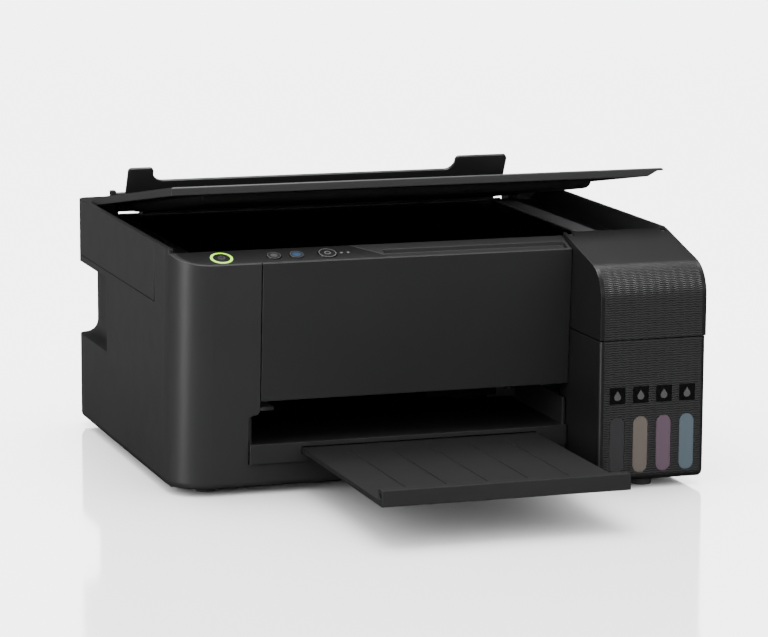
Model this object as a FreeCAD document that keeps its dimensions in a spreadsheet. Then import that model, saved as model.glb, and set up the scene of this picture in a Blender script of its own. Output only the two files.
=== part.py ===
import FreeCAD, Part
import os
import re
import Sketcher
from FreeCAD import Placement, Rotation, Vector

# An inkjet printer with a flatbed scanner on top and refillable ink tanks at its front right.
# Millimetres: +X right as seen from the front, +Y back, +Z up. The pieces are drawn about the middle
# of the body, and move back together at the end to the middle of the footprint with the tray out.

doc = FreeCAD.newDocument("InkjetPrinter")

# Driving sizes. The tank front is the frontmost plane of the body, the rear wall the rearmost.
SIZES = {
    "body_width": 375, "body_depth": 347, "body_height": 176, "foot_height": 5, "wall": 3,
    "gap": 0.4, "seam_gap": 0.8, "front_setback": 55, "front_lean": 9, "corner_radius": 28,
    "column_width": 62.3, "column_depth": 57.7, "seam_height": 133, "strip_depth": 21.5,
    "panel_top": 166, "strip_rise": 7.1, "panel_foot": 67.3, "exit_floor": 36.5,
    "grip_depth": 15.5, "grip_length": 92, "grip_low": 71.4, "grip_high": 128,
    "tank_width": 80.7, "tank_seam": 107.7, "tank_nose": 156, "tank_pitch": 17.8,
    "window_width": 11.5, "window_low": 12, "window_high": 53, "label_side": 12.2,
    "glass_height": 165, "glass_thickness": 3, "lid_thickness": 6, "lid_angle": 9.4,
    "feed_slot_depth": 27, "tray_reach": 118.5, "tray_width": 176.5, "tray_height": 31,
    "shaft_radius": 4, "roller_radius": 8, "pickup_radius": 13, "rod_radius": 3,
    "button_radius": 5, "power_radius": 6, "stop_radius": 6.6, "feed_angle": 65, "swing_room": 2.5,
    "pin_radius": 2, "pin_clearance": 0.06, "plate": 2.5, "guard_height": 24,
    "feed_roller_height": 58, "eject_roller_height": 54, "guide_rod_height": 84,
    "belt_height": 118, "pulley_radius": 6, "belt_thickness": 1.1,
}
# Places that follow from them.
PLACES = {
    "left": "-body_width / 2", "right": "body_width / 2",
    "front": "-body_depth / 2", "rear": "body_depth / 2",
    "case_front": "front + front_setback", "case_foot": "case_front + front_lean",
    "panel_left": "left + column_width", "tank_left": "right - tank_width",
    "unit_front": "case_front + strip_depth", "column_back": "case_front + column_depth",
    "strip_top": "panel_top + strip_rise", "grip_front": "rear - grip_length",
    "slot_front": "rear - feed_slot_depth", "lid_axis_y": "slot_front + 3",
    "lid_axis_z": "glass_height + 7", "unit_axis_y": "rear - 5", "unit_axis_z": "glass_height",
    "tank_axis_y": "unit_front - 4", "tank_axis_z": "body_height - 3.5",
    "guard_axis_y": "rear - 9", "guard_axis_z": "body_height + 2",
    "tray_tip": "front - tray_reach", "tank_middle": "right - tank_width / 2",
    "carriage_foot": "feed_roller_height + roller_radius + 1",
    "star_foot": "eject_roller_height + roller_radius - 1.5",
}
sheet = doc.addObject("Spreadsheet::Sheet", "Sizes")
for row, (size_name, size_value) in enumerate(SIZES.items(), start=1):
    sheet.set(f"A{row}", size_name)
    sheet.set(f"B{row}", str(size_value))
    sheet.setAlias(f"B{row}", size_name)
doc.recompute()


def bound(text):
    """A formula with each place spelled out and each size turned into its cell."""
    def spell(word):
        if word.group() in PLACES:
            return "(" + bound(PLACES[word.group()]) + ")"
        return "Sizes." + word.group() if word.group() in SIZES else word.group()
    return re.sub(r"[a-z_]{3,}", spell, str(text))


def value(text):
    """The number that a formula gives now, for choosing edges."""
    return float(sheet.evalExpression(bound(text)))


def box(name, along_x, along_y, along_z):
    """A block between two formulas on each axis."""
    solid = doc.addObject("Part::Box", name)
    spans = (("Length", "x", along_x), ("Width", "y", along_y), ("Height", "z", along_z))
    for side, place, (low, high) in spans:
        solid.setExpression(side, bound(f"({high}) - ({low})"))
        solid.setExpression(f"Placement.Base.{place}", bound(low))
    return solid


TURNS = {"x": Rotation(Vector(0, 1, 0), 90), "y": Rotation(Vector(1, 0, 0), -90), "z": Rotation()}


def rod(name, axis, radius, low, high, first, second):
    """A cylinder along one axis; first and second place it on the other two, in X, Y, Z order."""
    solid = doc.addObject("Part::Cylinder", name)
    solid.Placement = Placement(Vector(), TURNS[axis])
    solid.setExpression("Radius", bound(radius))
    solid.setExpression("Height", bound(f"({high}) - ({low})"))
    others = [letter for letter in "xyz" if letter != axis]
    for letter, place in ((axis, low), (others[0], first), (others[1], second)):
        solid.setExpression(f"Placement.Base.{letter}", bound(place))
    return solid


def fuse(name, *solids):
    whole = doc.addObject("Part::MultiFuse", name)
    whole.Shapes = list(solids)
    return whole


def cut(name, base, *tools):
    """The base less its tools."""
    solid = doc.addObject("Part::Cut", name)
    solid.Base = base
    solid.Tool = tools[0] if len(tools) == 1 else fuse(name + "_tools", *tools)
    return solid


def draw(body, role, outline, offset):
    """A sketch of straight sides on one origin plane, each corner held by two bound distances."""
    sketch = body.newObject("Sketcher::SketchObject", "Outline")
    plane = next(item for item in body.Origin.OriginFeatures if item.Role == role)
    sketch.AttachmentSupport = [(plane, "")]
    sketch.MapMode = "FlatFace"
    sketch.setExpression("AttachmentOffset.Base.z", bound(offset))
    corners = [(value(across), value(up)) for across, up in outline]
    count = len(corners)
    for number in range(count):
        start = Vector(*corners[number], 0)
        end = Vector(*corners[(number + 1) % count], 0)
        sketch.addGeometry(Part.LineSegment(start, end))
    for number in range(count):
        sketch.addConstraint(Sketcher.Constraint("Coincident", number, 2, (number + 1) % count, 1))
    for number, formulas in enumerate(outline):
        for kind, place, formula in zip(("DistanceX", "DistanceY"), corners[number], formulas):
            key = sketch.addConstraint(Sketcher.Constraint(kind, -1, 1, number, 1, place))
            sketch.setExpression(f"Constraints[{key}]", bound(formula))
    return sketch


def pad(name, role, outline, low, high):
    """A body padded from an outline. YZ_Plane pads along X, XZ_Plane along Y, XY_Plane along Z."""
    body = doc.addObject("PartDesign::Body", name)
    sketch = draw(body, role, outline, f"-({high})" if role == "XZ_Plane" else low)
    feature = body.newObject("PartDesign::Pad", "Pad")
    feature.Profile = sketch
    feature.setExpression("Length", bound(f"({high}) - ({low})"))
    doc.recompute()
    return body


def pocket(body, role, outline, low, high):
    """A cut through a body between two places, checked by the volume that it removes."""
    before = body.Shape.Volume
    sketch = draw(body, role, outline, f"-({low})" if role == "XZ_Plane" else high)
    feature = body.newObject("PartDesign::Pocket", "Pocket")
    feature.Profile = sketch
    feature.setExpression("Length", bound(f"({high}) - ({low})"))
    doc.recompute()
    if not body.Shape.Volume < before - 0.01:
        raise RuntimeError(f"a pocket in {body.Label} cuts nothing")


def rounded(body, radius, chosen):
    """Fillets on the edges whose middle point and direction the test accepts."""
    names = []
    for number, edge in enumerate(body.Shape.Edges, start=1):
        middle = edge.valueAt((edge.FirstParameter + edge.LastParameter) / 2)
        box_sides = edge.BoundBox
        if chosen(middle, box_sides.XLength, box_sides.YLength, box_sides.ZLength):
            names.append(f"Edge{number}")
    if not names:
        raise RuntimeError(f"no edge to round on {body.Label}")
    base = body.Tip
    feature = body.newObject("PartDesign::Fillet", "Fillet")
    feature.Base = (base, names)
    feature.setExpression("Radius", bound(radius))
    doc.recompute()


def rectangle(across, up):
    """The four corners of an upright rectangle, from two pairs of formulas."""
    return [(across[0], up[0]), (across[1], up[0]), (across[1], up[1]), (across[0], up[1])]


def near(number, formula, slack=0.6):
    return abs(number - value(formula)) < slack


nodes = {}


def keep(node, solid):
    """Marks a finished sub-part, whose label is its node's name."""
    solid.Label = node
    nodes[node] = solid


# ---- Lower case: one shell with the front-left column, side and rear walls and two hand grips.
case = pad("CaseShell", "YZ_Plane", [
    ("case_foot", "foot_height"), ("rear", "foot_height"), ("rear", "seam_height"),
    ("column_back", "seam_height"), ("column_back", "body_height"), ("unit_front", "body_height"),
    ("unit_front", "strip_top"), ("case_front", "panel_top")], "left", "right")
rounded(case, "corner_radius", lambda at, dx, dy, dz: near(at.x, "left") and dz > 100
        and at.y < value("case_foot") + 1)
rounded(case, "9", lambda at, dx, dy, dz: dz > 60 and dx < 1 and near(at.y, "rear"))
rounded(case, "5", lambda at, dx, dy, dz: near(at.z, "foot_height"))
inner = ("case_foot + wall", "rear - wall")
cavity_top = [("unit_front - wall", "seam_height + 1"), ("unit_front - wall", "strip_top - 2 * wall"),
              ("case_front + wall", "panel_top - 2 * wall")]
pocket(case, "YZ_Plane", [(inner[0], "0"), (inner[1], "0"), (inner[1], "seam_height + 1")] + cavity_top,
       "left + grip_depth + wall", "right - grip_depth - wall")
pocket(case, "YZ_Plane", rectangle(("case_front + corner_radius", "grip_front - wall"),
                                   ("0", "seam_height + 1")), "left + wall", "right - wall")
pocket(case, "YZ_Plane", rectangle(("grip_front - wall - 1", inner[1]), ("0", "grip_low - wall")),
       "left + wall", "right - wall")
pocket(case, "YZ_Plane",
       rectangle(("unit_front - gap", "rear + 1"), ("seam_height - 1", "body_height + 5")),
       "left + wall", "right - wall")
for low, high in (("left - 1", "left + grip_depth"), ("right - grip_depth", "right + 1")):
    pocket(case, "YZ_Plane", rectangle(("grip_front", "rear + 1"), ("grip_low", "grip_high")), low, high)
pocket(case, "XZ_Plane", rectangle(("panel_left", "tank_left"), ("foot_height + 17", "body_height + 5")),
       "case_front - 5", "unit_front + 1")
pocket(case, "XZ_Plane",
       rectangle(("panel_left - 8", "panel_left + 1"), ("foot_height + 17", "panel_foot - 10")),
       "case_front - 5", "unit_front + 1")
rounded(case, "3.9", lambda at, dx, dy, dz: dy > 2 and dx < 1 and dz < 1 and near(at.z, "panel_foot - 10")
        and (near(at.x, "panel_left") or near(at.x, "panel_left - 8")))
pocket(case, "XZ_Plane", rectangle(("tank_left - gap", "right + 1"), ("0", "body_height + 5")),
       "case_front - 5", "unit_front")
rounded(case, "9", lambda at, dx, dy, dz: dy > 60 and dx < 1 and dz < 1
        and (near(at.z, "grip_low") or near(at.z, "grip_high"))
        and (near(at.x, "left + grip_depth") or near(at.x, "right - grip_depth")))

# The shallow seat in the sloping top for the control panel, and the panel that fills it.
strip_slope = "strip_rise / strip_depth"
strip_seat = [("case_front + 1.5", f"panel_top + 1.5 * {strip_slope} - 2"),
              ("unit_front - 0.5", f"strip_top - 0.5 * {strip_slope} - 2"),
              ("unit_front - 0.5", f"strip_top - 0.5 * {strip_slope}"),
              ("case_front + 1.5", f"panel_top + 1.5 * {strip_slope}")]
strip = pad("StripSlab", "YZ_Plane", strip_seat, "left + 6", "tank_left - 136")
pocket(strip, "XY_Plane", [("tank_left - 164", "unit_front + 1"), ("tank_left - 134", "case_front"),
                           ("tank_left - 134", "unit_front + 1")], "panel_top - 10", "body_height + 10")
strip_round = "(strip_depth - 1.5)"
corner_centre = (f"left + 6 + {strip_round}", f"case_front + 1.5 + {strip_round}")
corner_block = box("StripCornerBlock", ("left + 5", corner_centre[0]), ("case_front + 1", corner_centre[1]),
                   ("panel_top - 10", "body_height"))
corner_round = rod("StripCornerRound", "z", strip_round, "panel_top - 11", "body_height + 1", *corner_centre)
strip = cut("Strip", strip, cut("StripCorner", corner_block, corner_round))

# Push buttons stand square to the slope and travel into it.
BUTTONS = {
    "power_button": ("left + 36", "power_radius"), "mono_copy_button": ("left + 74", "button_radius"),
    "colour_copy_button": ("left + 90.6", "button_radius"),
    "stop_button": ("left + 113.2", "stop_radius"),
}
SLOPE_TILT = 18.3
slope_turn = Rotation(Vector(1, 0, 0), SLOPE_TILT)


def on_slope(name, across, radius, low, high):
    """A cylinder square to the control slope, from low to high measured above its surface."""
    solid = doc.addObject("Part::Cylinder", name)
    solid.Placement = Placement(Vector(), slope_turn)
    solid.setExpression("Radius", bound(radius))
    solid.setExpression("Height", bound(f"({high}) - ({low})"))
    solid.setExpression("Placement.Base.x", bound(across))
    middle = f"({low}) * cos({SLOPE_TILT})"
    solid.setExpression("Placement.Base.y",
                        bound(f"case_front + strip_depth / 2 - ({low}) * sin({SLOPE_TILT})"))
    solid.setExpression("Placement.Base.z", bound(f"panel_top + strip_rise / 2 + {middle}"))
    return solid


def button_wells():
    return [on_slope(f"{name}_well", across, f"{radius} + 0.3", "-9", "3")
            for name, (across, radius) in BUTTONS.items()]


for name, (across, radius) in BUTTONS.items():
    keep(name, on_slope(name, across, radius, "-5", "0.5"))
ring_outer = on_slope("RingOuter", "left + 36", "power_radius + 2", "-1.5", "0.2")
keep("power_ring_light", cut("PowerRing", ring_outer,
                             on_slope("RingBore", "left + 36", "power_radius + 0.3", "-3", "3")))
lights = [on_slope(f"Light{number}", f"left + {123.5 + 5 * number}", "1", "-1",
                   "0.1") for number in range(2)]
keep("indicator_lights", fuse("IndicatorLights", *lights))
light_wells = [on_slope(f"LightWell{number}", f"left + {123.5 + 5 * number}", "1", "-1", "3")
               for number in range(2)]
ring_well = on_slope("RingWell", "left + 36", "power_radius + 2", "-1.5", "3")
keep("control_panel", cut("ControlPanel", strip, ring_well, *light_wells, *button_wells()))

# ---- Front panel: a leaning face with a sloping top and the finger groove behind its top edge.
panel = pad("PanelShell", "YZ_Plane", [
    ("case_front + front_lean * 0.62", "panel_foot"),
    ("case_front + front_lean * 0.62 + wall", "panel_foot"),
    ("case_front + wall", "panel_top - wall"), ("unit_front - gap", "strip_top - wall - 1"),
    ("unit_front - gap", "strip_top - gap * strip_rise / strip_depth"), ("case_front", "panel_top")],
    "panel_left + seam_gap", "tank_left - gap")
pocket(panel, "YZ_Plane",
       [("case_front + 2.5", "panel_top - 1.6"), ("case_front + 12", "panel_top + 1.2"),
                           ("case_front + 13", "strip_top + 1"), ("case_front + 2.5", "strip_top + 1")],
       "tank_left - 140", "tank_left - 3")
keep("front_panel", cut("FrontPanel", panel, strip, *button_wells()))

# ---- Base pan, feet and screws.
pan_depths = ("case_foot + wall + gap", "case_front + corner_radius + gap", "rear - wall - gap")
pan_heights = ("foot_height", "foot_height + plate")
pan_back = box("PanBack", ("left + wall + gap", "right - wall - gap"), pan_depths[1:], pan_heights)
pan_front = box("PanFront", ("left + grip_depth + wall + gap", "tank_left - 1"),
                (pan_depths[0], f"{pan_depths[1]} + 1"),
                pan_heights)
keep("base_pan", fuse("BasePan", pan_back, pan_front))
feet = [rod(f"Foot{number}", "z", "7", "0", "foot_height", across, along)
        for number, (across, along) in enumerate((("left + 30", "case_foot + 24"),
                                                  ("right - 30", "case_foot + 24"),
                                                  ("left + 30", "rear - 24"),
                                                  ("right - 30", "rear - 24")))]
keep("rubber_feet", fuse("Feet", *feet, rod("TankFoot", "z", "7", "0", "foot_height + 0.7",
                                            "tank_middle", "front + 18")))

# ---- Ink tank unit: the case at the lower right with windows and labels, four tanks and caps.
tank_back = "unit_front - 1.6"
tank = pad("TankShell", "YZ_Plane",
           rectangle(("front", "unit_front - gap"), ("foot_height + 0.7", "tank_seam")),
           "tank_left", "right")
rounded(tank, "6", lambda at, dx, dy,
        dz: near(at.y, "front") and near(at.z, "foot_height + 0.7") and dx > 9)
rounded(tank, "3", lambda at, dx, dy, dz: near(at.y, "front") and dz > 50)
pocket(tank, "YZ_Plane",
       rectangle(("front + plate", "unit_front + 1"), ("foot_height + 3.2", "tank_seam + 1")),
       "tank_left + plate", "right - plate")
windows = []
labels = []
slot_ends = "window_width / 2 - 0.05"
tanks = []
caps = ("black", "yellow", "magenta", "cyan")
for number in range(4):
    middle = f"tank_middle + {number - 1.5} * tank_pitch"
    sides = (f"{middle} - window_width / 2", f"{middle} + window_width / 2")
    pocket(tank, "XZ_Plane", rectangle(sides, ("window_low", "window_high")), "front - 1",
           "front + plate + 1")
    pane = pad(f"Pane{number}", "XZ_Plane", rectangle(sides, ("window_low", "window_high")),
               "front + 0.3", "front + plate")
    rounded(pane, slot_ends, lambda at, dx, dy, dz: dy > 1 and dx < 0.1 and dz < 0.1)
    windows.append(pane)
    sides = (f"{middle} - label_side / 2", f"{middle} + label_side / 2")
    heights = ("window_high + 9.3", "window_high + 9.3 + label_side")
    pocket(tank, "XZ_Plane", rectangle(sides, heights), "front - 1", "front + 0.5")
    labels.append(box(f"Label{number}", sides, ("front + 0.1", "front + 0.5"), heights))
    vessel = box(f"Vessel{number}", (f"{middle} - 8", f"{middle} + 8"),
                 ("front + plate + 0.5", "unit_front - 12"), ("foot_height + 4", "tank_seam - 12"))
    neck = rod(f"Neck{number}", "z", "5", "tank_seam - 14", "tank_seam - 7", middle, "front + 24")
    lugs = [box(f"Lug{number}{side}", (f"{middle} + {low}", f"{middle} + {low} + 1.5"),
                ("front + 31.5", "front + 35.5"), ("tank_seam - 13", "tank_seam - 3.2")) for side, low in
            (("a", -4.3), ("b", 2.8))]
    pin = rod(f"CapPin{number}", "x", "1.2", f"{middle} - 4.3", f"{middle} + 4.3", "front + 33.5",
              "tank_seam - 5")
    tanks.append(fuse(f"Tank{number}", vessel, neck, pin, *lugs))
    disc = rod(f"CapDisc{number}", "z", "7", "tank_seam - 6.7", "tank_seam - 1", middle, "front + 24")
    grip = box(f"CapGrip{number}", (f"{middle} - 1.5", f"{middle} + 1.5"), ("front + 18", "front + 30"),
               ("tank_seam - 1.5", "tank_seam + 4"))
    arm = box(f"CapArm{number}", (f"{middle} - 2.4", f"{middle} + 2.4"), ("front + 29", "front + 33.5"),
              ("tank_seam - 6.5", "tank_seam - 3.5"))
    barrel = rod(f"CapBarrel{number}", "x", "2.4", f"{middle} - 2.4", f"{middle} + 2.4",
                 "front + 33.5", "tank_seam - 5")
    bore = rod(f"CapBore{number}", "x", "1.2 + pin_clearance", f"{middle} - 3", f"{middle} + 3",
               "front + 33.5", "tank_seam - 5")
    keep(f"tank_cap_{caps[number]}",
         cut(f"Cap{number}", fuse(f"CapBody{number}", disc, grip, arm, barrel), bore))
lug_sides = (("tank_left + plate + 0.3", "tank_left + plate + 3.3"),
             ("right - plate - 3.3", "right - plate - 0.3"))
hinge_lugs = [box(f"CoverLug{number}", sides, ("tank_axis_y - 3", "tank_axis_y + 2.6"),
                  ("foot_height + 6", "tank_axis_z")) for number, sides in enumerate(lug_sides)]
hinge_rod = rod("CoverRod", "x", "1.5", "tank_left + 0.8", "right - 0.8", "tank_axis_y", "tank_axis_z")
rounded(tank, slot_ends, lambda at, dx, dy, dz: 1 < dy < 4 and dx < 0.1 and dz < 0.1
        and (near(at.z, "window_low") or near(at.z, "window_high")))
keep("tank_case", tank)
keep("tank_hinge_bar", fuse("HingeBar", hinge_rod, *hinge_lugs))
keep("ink_windows", fuse("Windows", *windows))
keep("tank_labels", fuse("Labels", *labels))
keep("ink_tanks", fuse("Tanks", *tanks))

cover = pad("CoverShell", "YZ_Plane", [("front", "tank_seam + seam_gap"), (tank_back, "tank_seam + seam_gap"),
                                       (tank_back, "body_height - 0.5"), ("front", "tank_nose")],
            "tank_left", "right")
rounded(cover, "24", lambda at, dx, dy, dz: near(at.y, "front") and near(at.z, "tank_nose") and dx > 9)
pocket(cover, "YZ_Plane", [("front + plate", "tank_seam"), ("unit_front", "tank_seam"),
                           ("unit_front", "body_height - 3"), ("front + 24", "tank_nose + 3"),
                           ("front + 9", "tank_nose - 8"), ("front + plate", "tank_nose - 20")],
       "tank_left + plate", "right - plate")
cover_cuts = [rod("CoverBore", "x", "1.5 + pin_clearance", "tank_left - 1", "right + 1", "tank_axis_y",
                  "tank_axis_z")]
for number, (low, high) in enumerate(lug_sides):
    cover_cuts.append(box(f"LugNotch{number}", (f"{low} - gap", f"{high} + gap"),
                          ("tank_axis_y - 4.5", "unit_front"), ("body_height - 12", "body_height + 1")))
keep("tank_cover", cut("TankCover", cover, *cover_cuts))

# ---- Output tray: a hollow floor in the paper exit, and the flat extension that slides in it.
tray_sides = ("panel_left - 7.5", "tank_left - 1")
tray_middle = "(panel_left + tank_left) / 2 + 3"
tray_front = "case_front + 5"
tray_floor = box("TrayFloor", tray_sides, (tray_front, "0"), ("foot_height + 17.5", "exit_floor"))
tray_slot = box("TraySlot",
                (f"{tray_middle} - tray_width / 2 - 0.5", f"{tray_middle} + tray_width / 2 + 0.5"),
                (f"{tray_front} - 1", "1"), ("tray_height - 3", "tray_height + 2.3"))
walls = [box(f"TrayWall{number}", sides, (f"{tray_front} + 4", "-12"),
             ("exit_floor - 1", "panel_foot - 11"))
         for number, sides in enumerate(((tray_sides[0], f"{tray_sides[0]} + 2"),
                             (f"{tray_sides[1]} - 2", tray_sides[1])))]
keep("output_tray", cut("OutputTray", fuse("TrayBody", tray_floor, *walls), tray_slot))
extension_sides = (f"{tray_middle} - tray_width / 2", f"{tray_middle} + tray_width / 2")
leaf = box("TrayLeaf", extension_sides, ("tray_tip + 3", "case_front + 20"),
           ("tray_height - 2", "tray_height + 1.5"))
lip = box("TrayLip", extension_sides, ("tray_tip", "tray_tip + 8"),
          ("tray_height - 2", "tray_height + 9"))
lip_hollow = rod("LipHollow", "x", "2.2", f"{extension_sides[0]} - 1", f"{extension_sides[1]} + 1",
                 "tray_tip + 4", "tray_height + 4.6")
keep("tray_extension", cut("TrayExtension", fuse("ExtensionBody", leaf, lip), lip_hollow))

# ---- Scanner unit: a hinged frame over the whole top, with the sunk bed, glass and scan bar.
bed_sides = ("left + wall + gap", "right - wall - gap")
unit_floor = "seam_height + gap"
broad = box("UnitBroad", ("left", "right"), ("column_back + gap", "rear"), (unit_floor, "body_height"))
narrow = box("UnitNarrow", bed_sides, ("unit_front + 0.1", "column_back + 5"),
             (unit_floor, "body_height"))
unit_block = fuse("UnitBlock", broad, narrow)
unit = doc.addObject("PartDesign::Body", "UnitShell")
unit.BaseFeature = unit_block
doc.recompute()
rounded(unit, "9", lambda at, dx, dy, dz: near(at.y, "rear") and dz > 20)
slot_sides = ("left + 24", "right - 24")
pocket(unit, "YZ_Plane", rectangle(("slot_front", "rear + 1"), ("seam_height - 1", "body_height + 1")),
       *slot_sides)
pocket(unit, "YZ_Plane",
       rectangle(("unit_front - 1", "slot_front - 3"), ("glass_height", "body_height + 1")),
       "left + 4", "right - 15")
pocket(unit, "XZ_Plane", [("right - 16", "glass_height"), ("right - 15", "glass_height"),
                          ("right - 4", "body_height"), ("right - 4", "body_height + 1"),
                          ("right - 16", "body_height + 1")], "unit_front - 1", "slot_front - 3")
for low, high in (("left + 24", "left + 44.4"), ("right - 44.4", "right - 24")):
    pocket(unit, "YZ_Plane",
           rectangle(("slot_front - 4", "slot_front + 1"), ("glass_height", "body_height + 1")), low,
           high)
# The front faces lean back going down, because they swing forward a little as the unit lifts.
pocket(unit, "YZ_Plane", [("unit_front", "seam_height"), ("unit_front + swing_room", "seam_height"),
                          ("unit_front + 0.1", "glass_height"), ("unit_front", "glass_height")], "left",
       "right")
for low, high in (("left - 1", "left + wall + gap"), ("right - wall - gap", "right + 1")):
    pocket(unit, "YZ_Plane",
           [("column_back", "seam_height"), ("column_back + gap + swing_room", "seam_height"),
                              ("column_back + gap", "glass_height"), ("column_back", "glass_height")],
           low, high)
pocket(unit, "YZ_Plane",
       rectangle(("unit_front + wall", "slot_front - wall"), ("seam_height - 1", "glass_height - 6")),
       "left + wall + gap + 3", "right - wall - gap - 3")
for low, high in (("left + 3", "left + 20.5"), ("right - 20.5", "right - 3")):
    pocket(unit, "YZ_Plane",
           rectangle(("slot_front + 3", "rear - 3"), ("seam_height - 1", "body_height - 3")), low, high)
glass_sides = ("left + 29", "left + 326")
glass_depth = ("unit_front + 15", "unit_front + 231")
pocket(unit, "XY_Plane", rectangle(glass_sides, glass_depth), "glass_height - glass_thickness",
       "glass_height + 1")
pocket(unit, "XY_Plane", rectangle((f"{glass_sides[0]} + 3", f"{glass_sides[1]} - 3"),
                                   (f"{glass_depth[0]} + 3", f"{glass_depth[1]} - 3")),
       "glass_height - 7", "glass_height")
unit_bores = [rod(f"UnitBore{number}", "x", "pin_radius + pin_clearance", low, high, "unit_axis_y",
                  "unit_axis_z")
              for number, (low, high) in enumerate((("left + 19", "left + 25"), ("right - 25", "right - 19")))]
lid_bores = [rod(f"LidBore{number}", "x", "pin_radius + pin_clearance", low, high, "lid_axis_y",
                 "lid_axis_z")
             for number, (low, high) in enumerate((("left + 20", "left + 26"), ("right - 26", "right - 20")))]
keep("scanner_frame", cut("ScannerFrame", unit, *unit_bores, *lid_bores))
keep("scanner_glass",
     box("Glass", glass_sides, glass_depth, ("glass_height - glass_thickness", "glass_height")))
keep("reference_strip", box("ReferenceStrip", (f"{glass_sides[1]} + 3", f"{glass_sides[1]} + 19"),
                            (f"{glass_depth[0]} + 2", f"{glass_depth[1]} - 2"),
                            ("glass_height", "glass_height + 0.6")))
keep("scanner_floor", box("ScannerFloor", ("left + wall + gap + 3", "right - wall - gap - 3"),
                          ("unit_front + wall", "slot_front - wall"), (unit_floor, f"{unit_floor} + 2")))
keep("scan_guide_rod",
     rod("ScanRod", "x", "rod_radius", "left + wall + gap + 3", "right - wall - gap - 3",
                           "unit_front + 120", "seam_height + 13"))
scan_bar = box("ScanBlock", (f"{glass_sides[0]} + 8", f"{glass_sides[0]} + 26"),
               (f"{glass_depth[0]} + 1", f"{glass_depth[1]} - 1"),
               ("seam_height + 8", "glass_height - 8"))
keep("scan_bar",
     cut("ScanBar", scan_bar, rod("ScanBore", "x", "rod_radius + pin_clearance", "left", "right",
                                              "unit_front + 120", "seam_height + 13")))
keep("scan_motor",
     rod("ScanMotor", "z", "11", f"{unit_floor} + 2", "seam_height + 22", f"{glass_sides[1]} + 20",
                       "unit_front + 60"))

# ---- Scanner lid, drawn shut and then turned open about its rear hinge by the lid angle.
lid_turn = "-lid_angle"
lid = pad("LidShell", "YZ_Plane", [
    ("unit_front", "lid_axis_z + 6.5 - lid_thickness"),
    ("lid_axis_y - 7.5", "lid_axis_z + 6.5 - lid_thickness"),
    ("lid_axis_y - 7.5", "lid_axis_z + 6.5"), ("unit_front", "lid_axis_z + 6.5")], "left + 4.4",
    "right - 0.5")
rounded(lid, "2", lambda at, dx, dy, dz: near(at.z, "lid_axis_z + 6.5") and (dx > 100 or dy > 100))
pocket(lid, "XZ_Plane", [("right - 16", "lid_axis_z - 1"), ("right + 1", "lid_axis_z - 1"),
                         ("right + 1", "body_height + 0.5"), ("right - 5", "body_height + 0.5")],
       "unit_front - 1", "lid_axis_y")
knuckles = []
for number, (low, high) in enumerate((("left + 24.4", "left + 44"), ("right - 44", "right - 24.4"))):
    knuckles.append(box(f"Knuckle{number}", (low, high), ("lid_axis_y - 14", "lid_axis_y"),
                        ("lid_axis_z - 5", "body_height")))
    knuckles.append(rod(f"KnuckleEnd{number}", "x", "2.6", low, high, "lid_axis_y", "lid_axis_z"))
lid_pins = [rod(f"LidPin{number}", "x", "pin_radius", low, high, "lid_axis_y", "lid_axis_z")
            for number, (low, high) in enumerate((("left + 20.8", "left + 30"), ("right - 30", "right - 20.8")))]
lid_whole = fuse("LidWhole", lid, *knuckles, *lid_pins)
mat = pad("PadBlock", "YZ_Plane",
          rectangle((f"{glass_depth[0]} + 2", f"{glass_depth[1]} - 2"),
                    ("glass_height + 1", "lid_axis_z + 6.5 - lid_thickness")),
          f"{glass_sides[0]} + 2", f"{glass_sides[1]} - 2")
rounded(mat, "5", lambda at, dx, dy, dz: near(at.z, "glass_height + 1"))


def opened(node, solid):
    """A copy of a shut piece of the lid, turned open about the lid's hinge line."""
    doc.recompute()
    piece = doc.addObject("Part::Feature", node + "_open")
    shape = solid.Shape.copy()
    centre = Vector(0, value("lid_axis_y"), value("lid_axis_z"))
    shape.rotate(centre, Vector(1, 0, 0), value(lid_turn))
    piece.Shape = shape
    keep(node, piece)


opened("scanner_lid", lid_whole)
opened("document_pad", mat)

# ---- Rear paper feed. The paper lies on a plane leaning back by the feed angle; a place on it
# is given by how far down the slope it is and how far it stands in front of the paper.


def on_feed(down, ahead):
    """The Y and Z formulas of a place beside the paper's plane."""
    along = f"rear - 5 - ({down}) * cos(feed_angle) - ({ahead}) * sin(feed_angle)"
    up = f"body_height - ({down}) * sin(feed_angle) + ({ahead}) * cos(feed_angle)"
    return along, up


def feed_plate(name, sides, down, ahead):
    corners = [on_feed(down[1], ahead[0]), on_feed(down[0], ahead[0]),
               on_feed(down[0], ahead[1]), on_feed(down[1], ahead[1])]
    return pad(name, "YZ_Plane", corners, *sides)


feed_sides = ("left + 28", "right - 28")
ramp = feed_plate("Ramp", feed_sides, ("14", "100"), ("-5.8", "-3.3"))
cheeks = []
for number, (low, high) in enumerate((("left + 24.5", "left + 28"), ("right - 28", "right - 24.5"))):
    cheeks.append(box(f"CheekLow{number}", (low, high), ("rear - 61", "rear - wall - 0.2"),
                      ("seam_height - 45", "seam_height - 5")))
    cheeks.append(box(f"CheekHigh{number}", (low, high), ("rear - 19", "rear - wall - 0.5"),
                      ("seam_height - 6", "body_height - 6")))
    cheeks.append(box(f"CheekTop{number}", (low, high), ("guard_axis_y - 3.5", "guard_axis_y + 3.5"),
                      ("body_height - 7", "guard_axis_z + 3.4")))
cheeks.append(rod("UnitPinLeft", "x", "pin_radius", "left + 20.8", "left + 26", "unit_axis_y",
                  "unit_axis_z"))
cheeks.append(rod("UnitPinRight", "x", "pin_radius", "right - 26", "right - 20.8", "unit_axis_y",
                  "unit_axis_z"))
pickup_at = on_feed("85", "pickup_radius + 0.5")
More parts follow.
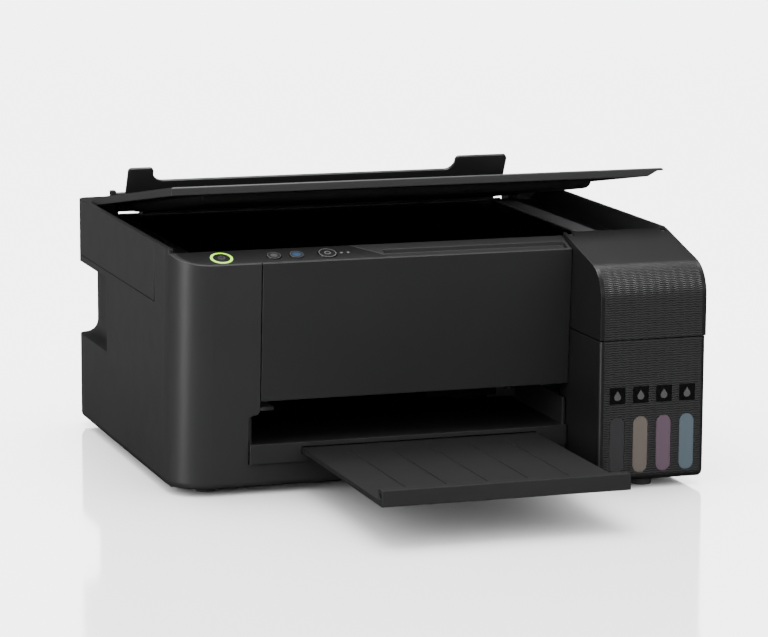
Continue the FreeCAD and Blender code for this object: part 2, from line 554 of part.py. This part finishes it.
cheek_bores = [rod("GuardBore", "x", "pin_radius + pin_clearance", "left + 20", "right - 20",
                   "guard_axis_y", "guard_axis_z"),
               rod("PickupBore", "x", "shaft_radius + pin_clearance", "left + 20", "right - 20",
                   *pickup_at)]
keep("rear_feed_frame", cut("FeedFrame", fuse("FeedBody", ramp, *cheeks), *cheek_bores))
keep("rear_cover", box("RearCover", ("left + 28.5", "right - 28.5"), ("rear - wall", "rear"),
                       (unit_floor, "body_height - 14")))
support = feed_plate("SupportPlate", ("left + 67", "right - 62"), ("0", "108"), ("-2.9", "-0.4"))
keep("paper_support", support)
guide_sides = ("left + 46", "left + 49")
keep("edge_guide", feed_plate("GuidePlate", guide_sides, ("8", "33"), ("0.4", "4.6")))
pickup_shaft = rod("PickupShaft", "x", "shaft_radius", "left + 24.6", "right - 24.6", *pickup_at)
pickup_tyre = rod("PickupTyre", "x", "pickup_radius", "-32", "20", *pickup_at)
keep("pickup_roller", fuse("PickupRoller", pickup_shaft, pickup_tyre))

# The feeder guard: an eared flap on a shaft, drawn upright and turned to lean forward.
GUARD_LEAN = 27
guard = pad("GuardPlate", "XZ_Plane", [
    ("left + 36", "-1.5"), ("right - 30", "-1.5"), ("right - 30", "guard_height"),
    ("right - 73", "guard_height"), ("right - 73", "guard_height / 2"), ("left + 56", "guard_height / 2"),
    ("left + 56", "guard_height"), ("left + 36", "guard_height")], "-1.25", "1.25")
rounded(guard, "8", lambda at, dx, dy,
        dz: near(at.z, "guard_height / 2") and dx < 1 and dz < 1 and dy > 2)
rounded(guard, "3", lambda at, dx, dy, dz: near(at.z, "guard_height") and dx < 1 and dz < 1 and dy > 2)
guard.Placement = Placement(Vector(), Rotation(Vector(1, 0, 0), GUARD_LEAN))
guard.setExpression("Placement.Base.y", bound("guard_axis_y"))
guard.setExpression("Placement.Base.z", bound("guard_axis_z"))
guard_shaft = rod("GuardShaft", "x", "pin_radius", "left + 25", "right - 25", "guard_axis_y",
                  "guard_axis_z")
keep("feeder_guard", fuse("FeederGuard", guard, guard_shaft))

# ---- Printing mechanism: a pressed frame with two shafts, a guide rod, a carriage and its belt.
frame_sides = ("left + 40", "tank_left - 6")
feed_at = ("45", "feed_roller_height")
eject_at = ("0", "eject_roller_height")
guide_at = ("56", "guide_rod_height")
frame_plate = box("FramePlate", frame_sides, ("66", "68"), ("45", "128"))
frame_ends = [box(f"FrameEnd{number}", sides, ("-10", "67"), ("44", "96")) for number, sides in
              enumerate(((frame_sides[0], f"{frame_sides[0]} + 2.5"),
                         (f"{frame_sides[1]} - 2.5", frame_sides[1])))]
drive_x = f"{frame_sides[0]} + 14"
idler_x = f"{frame_sides[1]} - 12"
idler_pin = rod("IdlerPin", "y", "1.5", "58", "66", idler_x, "belt_height")
frame_bores = [rod(f"ShaftBore{number}", "x", "shaft_radius + pin_clearance", f"{frame_sides[0]} - 1",
                   f"{frame_sides[1]} + 1", *place) for number, place in enumerate((feed_at, eject_at))]
frame_bores.append(rod("RodBore", "x", "rod_radius", f"{frame_sides[0]} - 1", f"{frame_sides[1]} + 1",
                       *guide_at))
frame_bores.append(rod("MotorBore", "y", "2 + pin_clearance", "60", "70", drive_x, "belt_height"))
keep("mechanism_frame",
     cut("MechanismFrame", fuse("FrameBody", frame_plate, idler_pin, *frame_ends), *frame_bores))
keep("carriage_guide_rod", rod("CarriageRod", "x", "rod_radius", *frame_sides, *guide_at))
feed_ends = (f"{frame_sides[0]} - 9", f"{frame_sides[1]} + 1.5")
keep("feed_roller", fuse("FeedRoller", rod("FeedShaft", "x", "shaft_radius", *feed_ends, *feed_at),
                         rod("FeedTyre", "x", "roller_radius", f"{frame_sides[0]} + 6",
                             f"{frame_sides[1]} - 6", *feed_at),
                         rod("FeedGear", "x", "15", f"{frame_sides[0]} - 8", f"{frame_sides[0]} - 3",
                             *feed_at)))
eject_step = f"({frame_sides[1]} - ({frame_sides[0]}) - 58.3) / 5"
eject_tyres = []
for number in range(6):
    tyre_start = f"{frame_sides[0]} + 37.5 + {eject_step} * {number}"
    eject_tyres.append(rod(f"EjectTyre{number}", "x", "roller_radius - 2.5", tyre_start,
                           f"{tyre_start} + 12",
                           *eject_at))
keep("eject_roller",
     fuse("EjectRoller", rod("EjectShaft", "x", "shaft_radius", *feed_ends, *eject_at), *eject_tyres))
keep("star_wheel_bar",
     box("StarWheelBar", (f"{frame_sides[0]} + 3", f"{frame_sides[1]} - 3"), ("-5", "5"),
         ("star_foot", "star_foot + 3")))
keep("platen", box("Platen", (f"{frame_sides[0]} + 8", "tank_left - 72"), ("9", "35"), ("50", "58")))
keep("capping_station",
     box("CappingStation", ("tank_left - 66", "tank_left - 10"), ("9", "35"), ("36.5", "61.5")))
carriage_block = box("CarriageBlock", ("tank_left - 62", "tank_left - 12"), ("8", "62"),
                     ("carriage_foot", "belt_height - pulley_radius - 2"))
keep("carriage", cut("Carriage", carriage_block,
                     rod("CarriageBore", "x", "rod_radius + pin_clearance", "left", "right", *guide_at)))
keep("print_head",
     box("PrintHead", ("tank_left - 54", "tank_left - 20"), ("13", "31"), ("62", "carriage_foot")))
keep("drive_pulley",
     fuse("DrivePulley", rod("DriveWheel", "y", "pulley_radius", "58.5", "63.5", drive_x, "belt_height"),
                          rod("DriveShaft", "y", "2", "58", "74", drive_x, "belt_height")))
keep("idler_pulley",
     cut("IdlerPulley", rod("IdlerWheel", "y", "pulley_radius", "58.5", "63.5", idler_x, "belt_height"),
                         rod("IdlerBore", "y", "1.5 + pin_clearance", "58", "64", idler_x,
                             "belt_height")))


def belt_loop(name, radius):
    """A racetrack slab round the two pulleys."""
    ends = [rod(f"{name}{letter}", "y", radius, "59", "63", place, "belt_height")
            for letter, place in (("Drive", drive_x), ("Idler", idler_x))]
    middle = box(f"{name}Middle", (drive_x, idler_x), ("59", "63"),
                 (f"belt_height - ({radius})", f"belt_height + {radius}"))
    return fuse(name, *ends, middle)


keep("carriage_belt",
     cut("CarriageBelt", belt_loop("BeltOuter", "pulley_radius + 0.2 + belt_thickness"),
         belt_loop("BeltInner", "pulley_radius + 0.2")))
motor_can = rod("CarriageMotorCan", "y", "12", "68", "96", drive_x, "belt_height")
keep("carriage_motor",
     cut("CarriageMotor", motor_can, rod("MotorSocket", "y", "2 + pin_clearance", "67", "76",
                                                           drive_x, "belt_height")))
pinion_at = ("45", "36.5")
pinion_sides = (f"{frame_sides[0]} - 8", f"{frame_sides[0]} - 3")
keep("feed_pinion", fuse("FeedPinion", rod("PinionWheel", "x", "6", *pinion_sides, *pinion_at),
                         rod("PinionShaft", "x", "2", f"{frame_sides[0]} - 14", pinion_sides[1],
                             *pinion_at)))
keep("feed_motor",
     cut("FeedMotor",
         rod("FeedMotorCan", "x", "11", f"{frame_sides[0]} - 32", f"{frame_sides[0]} - 9.5", *pinion_at),
                       rod("FeedMotorSocket", "x", "2 + pin_clearance", f"{frame_sides[0]} - 16",
                           f"{frame_sides[0]}", *pinion_at)))

# ---- Electrics and waste pad, with their openings in the rear wall.
keep("power_supply",
     box("PowerSupply", ("tank_left - 2", "right - 12"), ("50", "rear - 24"),
         ("foot_height + plate", "45")))
keep("main_board",
     box("MainBoard", ("right - 12", "right - 10.4"), ("unit_front + 8", "44"), ("20", "118")))
keep("waste_ink_pad",
     box("WastePad", ("left + 12", "-60"), ("72", "rear - 12"), ("foot_height + plate", "24")))
inlet_room = box("InletRoom", ("tank_left + 14", "tank_left + 44"), ("rear - 20", "rear + 1"),
                 ("14", "36"))
inlet_block = box("InletBlock", ("tank_left + 14", "tank_left + 44"), ("rear - 20", "rear"), ("14", "36"))
inlet_mouth = box("InletMouth", ("tank_left + 17", "tank_left + 41"), ("rear - 15", "rear + 1"),
                  ("17", "33"))
inlet_prongs = [rod(f"Prong{number}", "y", "1.2", "rear - 16", "rear - 4",
                    f"tank_left + {25 + 8 * number}", "25")
                for number in range(2)]
keep("power_inlet", fuse("PowerInlet", cut("InletBody", inlet_block, inlet_mouth), *inlet_prongs))
usb_room = box("UsbRoom", ("40", "56"), ("rear - 16", "rear + 1"), ("16", "30"))
usb_block = box("UsbBlock", ("40", "56"), ("rear - 16", "rear"), ("16", "30"))
keep("usb_socket",
     cut("UsbSocket", usb_block, box("UsbMouth", ("42", "54"), ("rear - 12", "rear + 1"), ("18", "28"))))
keep("outer_case", cut("OuterCase", case, strip, inlet_room, usb_room, *button_wells()))


# ---- Checks, then one STEP file for each sub-part, moved back by half of the tray's reach.
origin_shift = Vector(0, value("tray_reach / 2"), 0)
doc.recompute()
for item in doc.Objects:
    if "Invalid" in item.State or "Error" in item.State:
        raise RuntimeError(f"{item.Name} did not compute: {item.State}")
os.makedirs("parts", exist_ok=True)
for node, solid in nodes.items():
    if solid.Shape.isNull() or not solid.Shape.isValid():
        raise RuntimeError(f"{node} has no valid shape")
    solid.Shape.translated(origin_shift).exportStep(f"parts/{node}.step")
print(len(nodes), "sub-parts written")
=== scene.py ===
import bmesh
import bpy
import math
from mathutils import Matrix, Vector


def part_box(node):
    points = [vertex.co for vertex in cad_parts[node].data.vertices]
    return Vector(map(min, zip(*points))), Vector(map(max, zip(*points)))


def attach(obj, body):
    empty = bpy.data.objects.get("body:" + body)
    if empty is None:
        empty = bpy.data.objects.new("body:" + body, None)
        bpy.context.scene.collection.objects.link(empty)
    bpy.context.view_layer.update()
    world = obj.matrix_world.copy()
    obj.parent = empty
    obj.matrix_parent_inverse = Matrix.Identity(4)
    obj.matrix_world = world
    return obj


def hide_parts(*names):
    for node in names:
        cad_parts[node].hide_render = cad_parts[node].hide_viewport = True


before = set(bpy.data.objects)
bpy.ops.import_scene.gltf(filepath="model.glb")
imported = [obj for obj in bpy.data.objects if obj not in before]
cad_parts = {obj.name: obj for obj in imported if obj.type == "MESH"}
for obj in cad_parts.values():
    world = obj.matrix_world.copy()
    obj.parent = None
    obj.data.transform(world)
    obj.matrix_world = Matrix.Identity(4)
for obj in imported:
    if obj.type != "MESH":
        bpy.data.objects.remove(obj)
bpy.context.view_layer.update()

# The studio: a pale, slightly glossy acrylic floor that runs on far behind the printer.
# White air lights it evenly. Air and floor are left out of its reflections, so that only the
# softboxes and the side card shine in it.
edge_samples = 6
edge_radius = 0.0009


class Wire:
    """A shader socket that takes part in Python arithmetic."""

    def __init__(self, tree, socket):
        self.tree = tree
        self.socket = socket

    def node(self, kind, settings=None, **inputs):
        made = self.tree.nodes.new(kind)
        for name, setting in (settings or {}).items():
            setattr(made, name, setting)
        for name, given in inputs.items():
            key = int(name[1:]) if name[1:].isdigit() else name.replace("_", " ")
            if isinstance(given, Wire):
                self.tree.links.new(given.socket, made.inputs[key])
            else:
                made.inputs[key].default_value = given
        return made

    def maths(self, operation, first, second=0.0):
        made = self.node("ShaderNodeMath", {"operation": operation}, i0=first, i1=second)
        return Wire(self.tree, made.outputs[0])

    def __add__(self, other):
        return self.maths("ADD", self, other)

    def __mul__(self, other):
        return self.maths("MULTIPLY", self, other)

    def __sub__(self, other):
        return self.maths("SUBTRACT", self, other)

    def __rsub__(self, other):
        return self.maths("SUBTRACT", other, self)

    def __gt__(self, other):
        return self.maths("GREATER_THAN", self, other)

    def __lt__(self, other):
        return self.maths("LESS_THAN", self, other)

    __radd__ = __add__
    __rmul__ = __mul__

    def sine(self):
        return self.maths("SINE", self)

    def size(self):
        return self.maths("ABSOLUTE", self)


class Finish:
    """A material on the Principled shader, with the object's own coordinates at hand in metres."""

    def __init__(self, name, colour, rough, **fixed):
        self.material = bpy.data.materials.new(name)
        self.material.use_nodes = True
        self.tree = self.material.node_tree
        self.shader = self.tree.nodes["Principled BSDF"]
        self.shader.inputs["Base Color"].default_value = (*colour, 1)
        self.shader.inputs["Roughness"].default_value = rough
        for key, number in fixed.items():
            self.shader.inputs[key.replace("_", " ")].default_value = number
        place = self.tree.nodes.new("ShaderNodeTexCoord").outputs["Object"]
        self.place = Wire(self.tree, place)
        split = self.place.node("ShaderNodeSeparateXYZ", Vector=self.place)
        self.x, self.y, self.z = (Wire(self.tree, socket) for socket in split.outputs)

    def noise(self, scale, detail=3.0):
        made = self.place.node("ShaderNodeTexNoise", Vector=self.place, Scale=scale, Detail=detail)
        return Wire(self.tree, made.outputs[0])

    def mixed(self, factor, first, second):
        made = self.place.node("ShaderNodeMix", {"data_type": "RGBA"}, i0=factor,
                               i6=(*first, 1), i7=(*second, 1))
        return Wire(self.tree, made.outputs[2])

    def feed(self, socket, wire):
        self.tree.links.new(wire.socket, self.shader.inputs[socket])

    def relief(self, height, depth):
        """Bumps the surface by a height, over edges that look softly rounded."""
        edge = self.place.node("ShaderNodeBevel", {"samples": edge_samples}, Radius=edge_radius)
        made = self.place.node("ShaderNodeBump", Height=height, Distance=depth, Strength=1.0,
                               Normal=Wire(self.tree, edge.outputs[0]))
        self.tree.links.new(made.outputs[0], self.shader.inputs["Normal"])


flow_scale = 14.0
sheen_scale = 60.0
grain_scale = 2600.0


def moulded(name, colour, rough, grain=0.00004, spread=0.06, **fixed):
    """Moulded plastic: a fine spark-eroded grain, faint flow marks and uneven sheen."""
    made = Finish(name, colour, rough, **fixed)
    darker = [part * 0.9 for part in colour]
    lighter = [part * 1.12 for part in colour]
    made.feed("Base Color", made.mixed(made.noise(flow_scale), darker, lighter))
    made.feed("Roughness", made.noise(sheen_scale, 4.0) * spread + (rough - spread / 2))
    made.relief(made.noise(grain_scale, 2.0), grain)
    return made


def dress(finish, *names):
    for name in names:
        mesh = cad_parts[name].data
        mesh.materials.clear()
        mesh.materials.append(finish.material)


def piece(name, mesh, finish, body, *replaced):
    """Turns a finished bmesh into an object that rides on a body of the printer."""
    data = bpy.data.meshes.new(name)
    mesh.to_mesh(data)
    mesh.free()
    data.materials.append(finish.material)
    made = bpy.data.objects.new(name, data)
    bpy.context.collection.objects.link(made)
    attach(made, body)
    for node in replaced:
        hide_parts(node)
    return made


paper = Finish("studio_acrylic", (0.86, 0.86, 0.86), 0.12)
paper.feed("Roughness", paper.noise(3.0) * 0.03 + 0.07)
floor = bmesh.new()
bmesh.ops.create_grid(floor, x_segments=1, y_segments=1, size=40.0)
data = bpy.data.meshes.new("studio_floor")
floor.to_mesh(data)
floor.free()
data.materials.append(paper.material)
studio_floor = bpy.data.objects.new("studio_floor", data)
bpy.context.collection.objects.link(studio_floor)
studio_floor.visible_glossy = False

world = bpy.data.worlds.new("studio_air")
bpy.context.scene.world = world
world.use_nodes = True
air = world.node_tree.nodes["Background"]
air.inputs["Color"].default_value = (1, 1, 1, 1)
air.inputs["Strength"].default_value = 3.4
world.cycles_visibility.glossy = False


def lamp(name, place, aim, size, power):
    light = bpy.data.lights.new(name, "AREA")
    light.shape = "RECTANGLE"
    light.size = size[0]
    light.size_y = size[1]
    light.energy = power
    holder = bpy.data.objects.new(name, light)
    holder.location = place
    holder.rotation_euler = (Vector(aim) - Vector(place)).to_track_quat("-Z", "Y").to_euler()
    holder.visible_camera = False
    bpy.context.collection.objects.link(holder)
    return holder


softboxes = [lamp(*setting) for setting in (
    ("overhead_softbox", (-0.1, 0.16, 1.9), (0, 0.06, 0.1), (1.8, 1.4), 70),
    ("left_softbox", (-2.1, -0.74, 0.35), (-0.1, 0.06, 0.1), (0.7, 1.6), 42),
    ("front_softbox", (0.9, -2.34, 1.0), (0.05, 0.06, 0.1), (1.2, 0.8), 5),
    ("side_card", (-1.3, 2.86, 0.1), (-0.19, 0.06, 0.1), (2.4, 1.4), 2.3),
)]
# The sweep lights only the floor, and every softbox but the overhead one leaves the floor out.
backlight = lamp("floor_sweep", (0, 14, 3.6), (0, 0, 0), (40, 9), 7600)
sweep = bpy.data.collections.new("sweep_receivers")
sweep.objects.link(studio_floor)
backlight.light_linking.receiver_collection = sweep
for softbox in softboxes[1:]:
    kept_off = bpy.data.collections.new(softbox.name + "_kept_off")
    kept_off.objects.link(studio_floor)
    kept_off.collection_objects[0].light_linking.link_state = "EXCLUDE"
    softbox.light_linking.receiver_collection = kept_off

# The camera stands a little to the printer's left and above it, with a long lens.
# Its place and aim are in metres in the printer's own frame.
camera_place = Vector((-0.7838, -2.29295, 0.5392))
camera_aim = Vector((0.00396, 0.05925, 0.10081))
camera_data = bpy.data.cameras.new("studio_camera")
camera_data.sensor_width = 36
camera_data.lens = 158.95
camera = bpy.data.objects.new("studio_camera", camera_data)
bpy.context.collection.objects.link(camera)
camera.location = camera_place
camera_turn = (camera_aim - camera_place).to_track_quat("-Z", "Y").to_matrix()
camera.rotation_euler = (camera_turn @ Matrix.Rotation(math.radians(0.26), 3, "Z")).to_euler()
bpy.context.scene.camera = camera

# The outer case, scanner frame and rear cover: injection-moulded charcoal plastic with a
# fine matt grain. The case is one shell, screwed to the pan below it.
charcoal = moulded("charcoal_case", (0.0120, 0.0120, 0.0123), 0.42)
dress(charcoal, "outer_case", "scanner_frame", "rear_cover")

# The front panel, lid, trays and guard are the same plastic with a smoother satin tool finish.
satin = moulded("charcoal_satin", (0.0102, 0.0102, 0.0105), 0.38, grain=0.00002)
dress(satin, "front_panel", "scanner_lid", "output_tray", "feeder_guard", "paper_support")

# Mouldings inside the printer are plain black plastic straight from the tool.
# So are the edge guide and the two sockets at the rear, which can be seen from outside.
inner_black = moulded("inner_black", (0.0058, 0.0058, 0.0060), 0.5)
dress(inner_black, "base_pan", "rear_feed_frame", "star_wheel_bar", "platen",
      "capping_station", "carriage", "edge_guide", "scanner_floor", "scan_bar",
      "tank_hinge_bar", "power_inlet", "usb_socket", "drive_pulley", "idler_pulley",
      "feed_pinion", "tank_cap_black", "tank_cap_yellow", "tank_cap_magenta", "tank_cap_cyan")

# The control panel is a gloss black strip laid into the sloping top.
gloss = moulded("strip_black", (0.0060, 0.0060, 0.0062), 0.3, grain=0.000006, spread=0.04)
dress(gloss, "control_panel")

# The ink tank unit: a case and a hinged cover in the same charcoal plastic. Their front carries
# rows of small embossed waves inside a plain rim; the sides and the top of the slope are plain.
tank_low, tank_high = (Vector(corner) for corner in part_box("tank_cover"))
row_pitch = 0.0017
wave_pitch = 0.0062
rim = 0.0032
slope_share = 0.78
front_depth = 0.024
wave_foot = 0.0095
fade_ends = (("From Min", 0.162), ("From Max", 0.150), ("To Min", 0.0), ("To Max", 1.0))


def waved(name):
    made = Finish(name, (0.0085, 0.0085, 0.0088), 0.38)
    run = made.z + made.y * slope_share
    weave = (made.x * (math.tau / wave_pitch)).sine() * 0.9
    rows = (run * (math.tau / row_pitch) + weave).sine() * 0.5 + 0.5
    inside = (made.x > tank_low.x + rim) * (made.x < tank_high.x - rim)
    front_only = (made.y < tank_low.y + front_depth) * (made.z > wave_foot)
    fade = made.tree.nodes.new("ShaderNodeMapRange")
    made.tree.links.new(made.z.socket, fade.inputs["Value"])
    for key, number in fade_ends:
        fade.inputs[key].default_value = number
    strength = inside * front_only * Wire(made.tree, fade.outputs[0])
    height = rows * strength
    made.relief(height + made.noise(grain_scale, 2.0) * 0.12, 0.0004)
    # The colour follows the wave height: the crests are lighter as a painted highlight, and the
    # troughs darker as painted shade. The plain rim, sides and top take the dark trough colour.
    made.feed("Base Color", made.mixed(height, (0.0058, 0.0058, 0.0060), (0.0165, 0.0165, 0.0170)))
    made.feed("Roughness", made.noise(sheen_scale, 4.0) * 0.06 + 0.36)
    return made


dress(waved("waved_charcoal"), "tank_cover", "tank_case")

# Four ink windows: slots that take the muted colour of the ink behind them. The surface is
# smooth, with an uneven sheen, and the colour changes midway between two slots.
pane_low, pane_high = (Vector(corner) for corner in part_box("ink_windows"))
pane_width = 0.0115
pane_step = (pane_high.x - pane_low.x - pane_width) / 3
ink_colours = ((0.016, 0.016, 0.017), (0.058, 0.049, 0.042),
               (0.050, 0.033, 0.046), (0.038, 0.052, 0.062))
tank_colours = ((0.02, 0.02, 0.022), (0.5, 0.4, 0.02), (0.4, 0.02, 0.14), (0.02, 0.2, 0.42))


def inked(name, colours, low, step, width):
    made = Finish(name, colours[0], 0.22)
    shade = None
    for number in range(1, 4):
        past = made.x > low + step * number - (step - width) / 2
        before = colours[number - 1] if shade is None else (0, 0, 0)
        mix = made.mixed(past, before, colours[number])
        if shade is not None:
            made.tree.links.new(shade.socket, mix.socket.node.inputs[6])
        shade = mix
    made.feed("Base Color", shade)
    return made


panes = inked("ink_behind_pane", ink_colours, pane_low.x, pane_step, pane_width)
panes.relief(panes.noise(120.0) * 0.3, 0.0001)
panes.feed("Roughness", panes.noise(90.0) * 0.1 + 0.2)
dress(panes, "ink_windows")
vessels = inked("ink_in_tank", tank_colours, pane_low.x, pane_step, pane_width)
dress(vessels, "ink_tanks")

# Square gloss labels above the windows, each with a small printed drop in place of a letter.
# They are black film set flush in shallow seats.
label_film = moulded("label_film", (0.002, 0.002, 0.002), 0.3, grain=0.000004)
dress(label_film, "tank_labels")
label_low, label_high = (Vector(corner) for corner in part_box("tank_labels"))
label_side = label_high.z - label_low.z
drop_radius = 0.0026
drop_lift = 0.00004
drop_print = Finish("drop_print", (0.034, 0.034, 0.036), 0.45)
drop_print.feed("Roughness", drop_print.noise(200.0) * 0.1 + 0.4)
for number, colour in enumerate(("black", "yellow", "magenta", "cyan")):
    centre = label_low.x + label_side / 2 + number * pane_step
    drop = bmesh.new()
    bmesh.ops.create_circle(drop, cap_ends=True, radius=drop_radius, segments=32)
    for corner in drop.verts:
        above = max(0.0, corner.co.y)
        corner.co.x *= 1 - (above / drop_radius) ** 1.5
        corner.co.y += above * 0.75
    bmesh.ops.solidify(drop, geom=drop.faces[:], thickness=2 * drop_lift)
    bmesh.ops.recalc_face_normals(drop, faces=drop.faces[:])
    bmesh.ops.rotate(drop, verts=drop.verts, matrix=Matrix.Rotation(math.pi / 2, 3, "X"))
    middle = Vector((centre, label_low.y - drop_lift, (label_low.z + label_high.z) / 2 - 0.001))
    bmesh.ops.translate(drop, verts=drop.verts, vec=middle)
    piece(f"label_drop_{colour}", drop, drop_print, "case")

# Push buttons: satin keys flush with the strip. The two copy keys carry a grey and a blue dot,
# stop carries a thin ring, and power sits inside a light guide that glows lime green.
key_plastic = moulded("key_plastic", (0.006, 0.006, 0.0062), 0.3, grain=0.00001)
dress(key_plastic, "power_button", "mono_copy_button", "colour_copy_button", "stop_button")
glow = Finish("lime_glow", (0.25, 0.6, 0.03), 0.4, Emission_Strength=0.62)
glow.feed("Emission Color", glow.mixed(glow.noise(400.0), (0.42, 1.0, 0.02), (0.58, 1.0, 0.04)))
glow.feed("Roughness", glow.noise(90.0) * 0.1 + 0.35)
dress(glow, "power_ring_light")
dim_print = Finish("dim_print", (0.06, 0.06, 0.062), 0.5)
dim_print.feed("Roughness", dim_print.noise(300.0) * 0.1 + 0.45)
dress(dim_print, "indicator_lights")
grey_dot = Finish("grey_dot", (0.03, 0.03, 0.031), 0.4)
grey_dot.feed("Roughness", grey_dot.noise(300.0) * 0.1 + 0.35)
blue_dot = Finish("blue_dot", (0.008, 0.026, 0.060), 0.4)
blue_dot.feed("Roughness", blue_dot.noise(300.0) * 0.1 + 0.35)
slope = Matrix.Rotation(math.radians(18.3), 3, "X")
key_lift = 0.00282
mark_thickness = 0.00006


def printed(name, mesh, finish, key, across=0.0, up=0.0):
    """Lays a flat mark on the top of a key or on the strip, tilted with the slope."""
    low, high = (Vector(corner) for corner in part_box(key))
    top = (low + high) / 2
    lift = key_lift if key != "control_panel" else 0.0
    bmesh.ops.solidify(mesh, geom=mesh.faces[:], thickness=mark_thickness)
    bmesh.ops.recalc_face_normals(mesh, faces=mesh.faces[:])
    bmesh.ops.translate(mesh, verts=mesh.verts, vec=(across, up, lift))
    bmesh.ops.rotate(mesh, verts=mesh.verts, matrix=slope)
    bmesh.ops.translate(mesh, verts=mesh.verts, vec=top)
    body = key if key != "control_panel" else "case"
    made = piece(name, mesh, finish, body)
    return made


def disc(radius):
    mesh = bmesh.new()
    bmesh.ops.create_circle(mesh, cap_ends=True, radius=radius, segments=48)
    return mesh


def band(radius, width, sweep=math.tau, start=0.0):
    """A flat ring, or part of one."""
    mesh = bmesh.new()
    ends = [mesh.verts.new((radius + side * width / 2, 0, 0)) for side in (-1, 1)]
    edge = mesh.edges.new(ends)
    bmesh.ops.rotate(mesh, verts=ends, matrix=Matrix.Rotation(start, 3, "Z"))
    bmesh.ops.spin(mesh, geom=[*ends, edge], axis=(0, 0, 1), cent=(0, 0, 0), angle=sweep, steps=48,
                   use_merge=sweep > 6.28)
    return mesh


def bar(length, width, angle):
    mesh = bmesh.new()
    bmesh.ops.create_grid(mesh, x_segments=1, y_segments=1, size=0.5)
    bmesh.ops.scale(mesh, verts=mesh.verts, vec=(length, width, 1))
    bmesh.ops.rotate(mesh, verts=mesh.verts, matrix=Matrix.Rotation(angle, 3, "Z"))
    return mesh


arc_start = math.pi / 2 + 0.64
printed("power_mark_arc", band(0.0021, 0.0005, 5.0, arc_start), dim_print, "power_button")
printed("power_mark_line", bar(0.0024, 0.0005, math.pi / 2), dim_print, "power_button",
        up=0.0018)
printed("mono_copy_rim", band(0.0046, 0.0003), dim_print, "mono_copy_button")
printed("mono_copy_dot", disc(0.0026), grey_dot, "mono_copy_button")
printed("colour_copy_rim", band(0.0046, 0.0003), dim_print, "colour_copy_button")
printed("colour_copy_dot", disc(0.0032), blue_dot, "colour_copy_button")
printed("stop_rim", band(0.0060, 0.0005), dim_print, "stop_button")
printed("stop_mark", band(0.0020, 0.0007), dim_print, "stop_button")

# The scanner bed: a gloss pane with a grey reference strip at its right edge. The inside
# below it is black, so the pane is made as a dark mirror.
bed_glass = Finish("bed_glass", (0.002, 0.002, 0.0021), 0.05, IOR=1.25)
bed_glass.feed("Roughness", bed_glass.noise(5.0) * 0.03 + 0.04)
dress(bed_glass, "scanner_glass")
# The strip is painted a lighter grey than its own colour, as painted light on the bed's right
# margin.
strip_grey_painted_light = moulded("strip_grey_painted_light", (0.14, 0.14, 0.145), 0.5)
dress(strip_grey_painted_light, "reference_strip")

# The document pad under the lid is thin foam behind a smooth sheet, painted near black as painted
# shade under the lid.
# It is glued to the lid and presses the page flat.
pad_sheet_painted_shade = Finish("pad_sheet_painted_shade", (0.0022, 0.0022, 0.0023), 0.6)
pad_sheet_painted_shade.relief(pad_sheet_painted_shade.noise(900.0, 3.0), 0.00006)
dress(pad_sheet_painted_shade, "document_pad")

# Metal pieces inside: the pressed frame, guide rods and motor cans are bright plated steel.
# Their sheen is slightly uneven.
steel = Finish("plated_steel", (0.45, 0.46, 0.47), 0.3, Metallic=1.0)
steel.feed("Roughness", steel.noise(240.0, 4.0) * 0.12 + 0.24)
dress(steel, "mechanism_frame", "carriage_guide_rod", "scan_guide_rod",
      "carriage_motor", "feed_motor", "scan_motor")

# Rollers, feet and belt are rubber, all with one finely ground surface.
rubber = Finish("ground_rubber", (0.02, 0.02, 0.021), 0.75)
rubber.relief(rubber.noise(1500.0, 2.0), 0.00008)
dress(rubber, "feed_roller", "eject_roller", "pickup_roller", "rubber_feet", "carriage_belt")

# The rest of the inside: grey boxes for the supply and head, a green board, a felt pad.
grey = moulded("grey_plastic", (0.16, 0.165, 0.17), 0.45)
dress(grey, "power_supply", "print_head")
board = moulded("board_green", (0.01, 0.09, 0.035), 0.35)
dress(board, "main_board")
felt = Finish("felt_pad", (0.55, 0.55, 0.53), 0.95)
felt.relief(felt.noise(700.0, 4.0), 0.0006)
dress(felt, "waste_ink_pad")

# The tray extension: one thin moulding with five shallow ribs along it and a raised lip at
# its front edge that catches the sheets. It slides in the tray's floor.
dress(satin, "tray_extension")
leaf_low, leaf_high = (Vector(corner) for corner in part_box("tray_extension"))
leaf_top = leaf_low.z + 0.0035
rib_length = leaf_high.y - leaf_low.y - 0.045
rib_width = 0.0016
rib_height = 0.0008
for number in range(5):
    across = leaf_low.x + (leaf_high.x - leaf_low.x) * (number + 1) / 6
    middle = Vector((across, leaf_low.y + 0.0105 + rib_length / 2, leaf_top + 0.0003))
    rib = bmesh.new()
    bmesh.ops.create_cube(rib, size=1)
    bmesh.ops.scale(rib, verts=rib.verts, vec=(rib_width, rib_length, rib_height))
    top = [edge for edge in rib.edges if all(corner.co.z > 0 for corner in edge.verts)]
    bmesh.ops.bevel(rib, geom=top, offset=0.0004, affect="EDGES", segments=2, profile=0.5,
                    material=-1)
    bmesh.ops.translate(rib, verts=rib.verts, vec=middle)
    piece(f"tray_rib_{number + 1}", rib, satin, "tray_extension")
